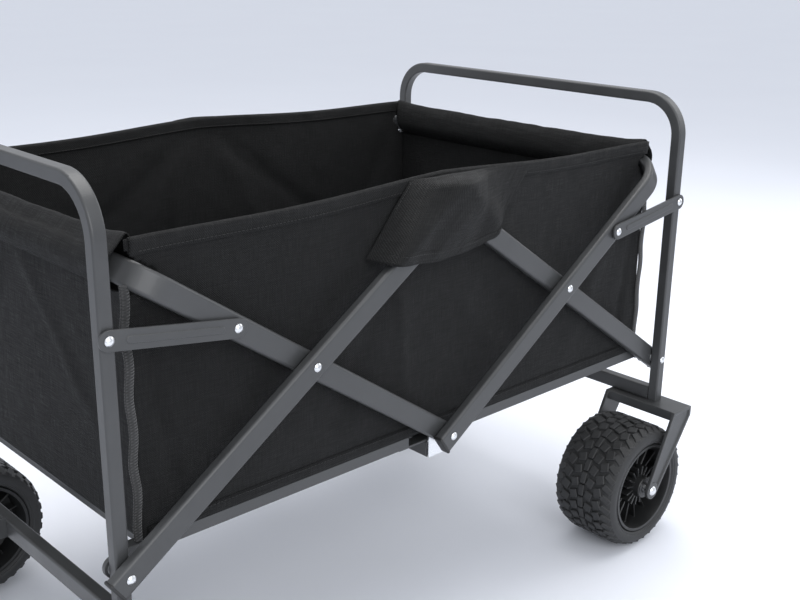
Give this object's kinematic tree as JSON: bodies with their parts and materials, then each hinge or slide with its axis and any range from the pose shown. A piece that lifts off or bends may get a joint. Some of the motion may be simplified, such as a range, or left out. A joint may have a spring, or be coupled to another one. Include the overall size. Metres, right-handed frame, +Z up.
{
  "type": "folding camp wagon",
  "caption": "Folding camp wagon: scissor-braced hoop frames, open fabric tub on a folding floor, wide wheels, raked rear forks, swivel casters and a telescopic pull handle.",
  "frame": {"origin": "on the ground, under the middle of the open wagon's box", "axes": "+X towards the rear (fixed wheels), +Y to the right side, +Z up"},
  "size_m": [0.952, 0.642, 0.7134],
  "materials": {
    "frame_steel": "satin dark grey powder coat",
    "zinc_steel": "bright zinc plate",
    "inner_tube_aluminium": "anodised",
    "tyre_rubber": "moulded black rubber with block tread",
    "rim_plastic": "black moulded plastic",
    "tub_fabric": "coated black Oxford weave",
    "grip_plastic": "soft-touch black",
    "button_plastic": "grey moulded plastic"
  },
  "bodies": {
    "centre": {"centre_crossbar": "frame_steel", "centre_brackets": "zinc_steel", "centre_pivot_rivets": "zinc_steel"},
    "rear_u": {"rear_u_tube": "frame_steel", "rear_crossing_rivets": "zinc_steel", "rear_rim_sleeve": "tub_fabric"},
    "front_u": {"front_u_tube": "frame_steel", "front_crossing_rivets": "zinc_steel", "front_rim_sleeve": "tub_fabric"},
    "rear_braces": {"rear_brace_left": "frame_steel", "rear_brace_right": "frame_steel", "top_pivot_rivets": "zinc_steel"},
    "front_braces": {"front_brace_left": "frame_steel", "front_brace_right": "frame_steel"},
    "rear_frame": {"rear_hoop": "frame_steel", "rear_crossbar": "frame_steel", "rear_post_rivets": "zinc_steel", "rear_fork_left": "frame_steel", "rear_fork_right": "frame_steel", "rear_axle_bolt_left": "zinc_steel", "rear_axle_bolt_right": "zinc_steel"},
    "front_frame": {"front_hoop": "frame_steel", "front_crossbar": "frame_steel", "front_post_rivets": "zinc_steel", "caster_mount_left": "frame_steel", "caster_mount_right": "frame_steel", "handle_bracket": "frame_steel", "handle_pivot_pin": "zinc_steel"},
    "caster_left": {"caster_fork_left": "frame_steel", "front_axle_bolt_left": "zinc_steel"},
    "caster_right": {"caster_fork_right": "frame_steel", "front_axle_bolt_right": "zinc_steel"},
    "rear_wheel_left": {"rear_tyre_left": "tyre_rubber", "rear_rim_left": "rim_plastic"},
    "rear_wheel_right": {"rear_tyre_right": "tyre_rubber", "rear_rim_right": "rim_plastic"},
    "front_wheel_left": {"front_tyre_left": "tyre_rubber", "front_rim_left": "rim_plastic"},
    "front_wheel_right": {"front_tyre_right": "tyre_rubber", "front_rim_right": "rim_plastic"},
    "rear_links": {"rear_link_left": "frame_steel", "rear_link_right": "frame_steel", "rear_link_rivets": "zinc_steel"},
    "front_links": {"front_link_left": "frame_steel", "front_link_right": "frame_steel", "front_link_rivets": "zinc_steel"},
    "rear_floor": {"rear_floor_frame": "frame_steel", "rear_floor_board": "tub_fabric"},
    "front_floor": {"front_floor_frame": "frame_steel", "front_floor_board": "tub_fabric"},
    "tub": {"side_wall_left": "tub_fabric", "side_wall_right": "tub_fabric", "rear_end_wall": "tub_fabric", "front_end_wall": "tub_fabric", "floor_centre_strip": "tub_fabric"},
    "handle": {"handle_outer_tube": "frame_steel"},
    "handle_slider": {"handle_inner_tube": "inner_tube_aluminium", "handle_grip": "grip_plastic"},
    "button": {"release_button": "button_plastic"}
  },
  "joints": [
    {"name": "fold", "type": "hinge", "parent": "centre", "child": "rear_u", "pos_m": [0.016, 0, 0.27524], "axis": [0, -1, 0], "range_deg": [0, 38.7], "deforming": ["side_wall_left", "side_wall_right", "rear_end_wall", "front_end_wall", "floor_centre_strip"]},
    {"name": "front_u_fold", "type": "hinge", "parent": "centre", "child": "front_u", "pos_m": [0.016, 0, 0.27524], "axis": [0, 1, 0], "range_deg": [0, 38.7]},
    {"name": "rear_brace_fold", "type": "hinge", "parent": "rear_u", "child": "rear_braces", "pos_m": [0.22129, 0, 0.41528], "axis": [0, 1, 0], "range_deg": [0, 77.4]},
    {"name": "front_brace_fold", "type": "hinge", "parent": "front_u", "child": "front_braces", "pos_m": [-0.18929, 0, 0.41528], "axis": [0, -1, 0], "range_deg": [0, 77.4]},
    {"name": "rear_frame_fold", "type": "hinge", "parent": "rear_braces", "child": "rear_frame", "pos_m": [0.44598, 0, 0.262], "axis": [0, -1, 0], "range_deg": [0, 38.7]},
    {"name": "front_frame_fold", "type": "hinge", "parent": "front_braces", "child": "front_frame", "pos_m": [-0.41398, 0, 0.262], "axis": [0, 1, 0], "range_deg": [0, 38.7]},
    {"name": "rear_link_fold", "type": "hinge", "parent": "rear_frame", "child": "rear_links", "pos_m": [0.44598, 0, 0.49511], "axis": [0, 1, 0], "range_deg": [0, 77.69]},
    {"name": "front_link_fold", "type": "hinge", "parent": "front_frame", "child": "front_links", "pos_m": [-0.41398, 0, 0.49511], "axis": [0, -1, 0], "range_deg": [0, 77.69]},
    {"name": "rear_floor_fold", "type": "hinge", "parent": "rear_frame", "child": "rear_floor", "pos_m": [0.44598, 0, 0.262], "axis": [0, 1, 0], "range_deg": [0, 75]},
    {"name": "front_floor_fold", "type": "hinge", "parent": "front_frame", "child": "front_floor", "pos_m": [-0.41398, 0, 0.262], "axis": [0, -1, 0], "range_deg": [0, 75]},
    {"name": "tub_lift", "type": "slide", "parent": "centre", "child": "tub", "axis": [0, 0, 1], "range_m": [0, 0.19]},
    {"name": "caster_swivel_left", "type": "hinge", "parent": "front_frame", "child": "caster_left", "pos_m": [-0.41398, -0.245, 0.1887], "axis": [0, 0, 1], "continuous": true},
    {"name": "caster_swivel_right", "type": "hinge", "parent": "front_frame", "child": "caster_right", "pos_m": [-0.41398, 0.245, 0.1887], "axis": [0, 0, 1], "continuous": true},
    {"name": "rear_wheel_spin_left", "type": "hinge", "parent": "rear_frame", "child": "rear_wheel_left", "pos_m": [0.38598, -0.257, 0.09], "axis": [0, 1, 0], "continuous": true},
    {"name": "front_wheel_spin_left", "type": "hinge", "parent": "caster_left", "child": "front_wheel_left", "pos_m": [-0.36898, -0.245, 0.09], "axis": [0, 1, 0], "continuous": true},
    {"name": "rear_wheel_spin_right", "type": "hinge", "parent": "rear_frame", "child": "rear_wheel_right", "pos_m": [0.38598, 0.257, 0.09], "axis": [0, 1, 0], "continuous": true},
    {"name": "front_wheel_spin_right", "type": "hinge", "parent": "caster_right", "child": "front_wheel_right", "pos_m": [-0.36898, 0.245, 0.09], "axis": [0, 1, 0], "continuous": true},
    {"name": "handle_pivot", "type": "hinge", "parent": "front_frame", "child": "handle", "pos_m": [-0.46198, 0, 0.2115], "axis": [0, -1, 0], "range_deg": [0, 100]},
    {"name": "handle_extend", "type": "slide", "parent": "handle", "child": "handle_slider", "axis": [0.0662, 0, 0.9978], "range_m": [0, 0.33]},
    {"name": "button_press", "type": "slide", "parent": "handle_slider", "child": "button", "axis": [0.9978, 0, -0.0662], "range_m": [0, 0.003], "stiffness_N_per_m": 800}
  ],
  "couplings": [
    {"joint": "front_u_fold", "follows": "fold", "ratio": 1},
    {"joint": "rear_brace_fold", "follows": "fold", "ratio": 2},
    {"joint": "front_brace_fold", "follows": "fold", "ratio": 2},
    {"joint": "rear_frame_fold", "follows": "fold", "ratio": 1},
    {"joint": "front_frame_fold", "follows": "fold", "ratio": 1},
    {"joint": "rear_link_fold", "follows": "fold", "ratio": 2.0074},
    {"joint": "front_link_fold", "follows": "fold", "ratio": 2.0074},
    {"joint": "rear_floor_fold", "follows": "fold", "ratio": 1.938},
    {"joint": "front_floor_fold", "follows": "fold", "ratio": 1.938},
    {"joint": "tub_lift", "follows": "fold", "m_per_rad": 0.2812}
  ]
}
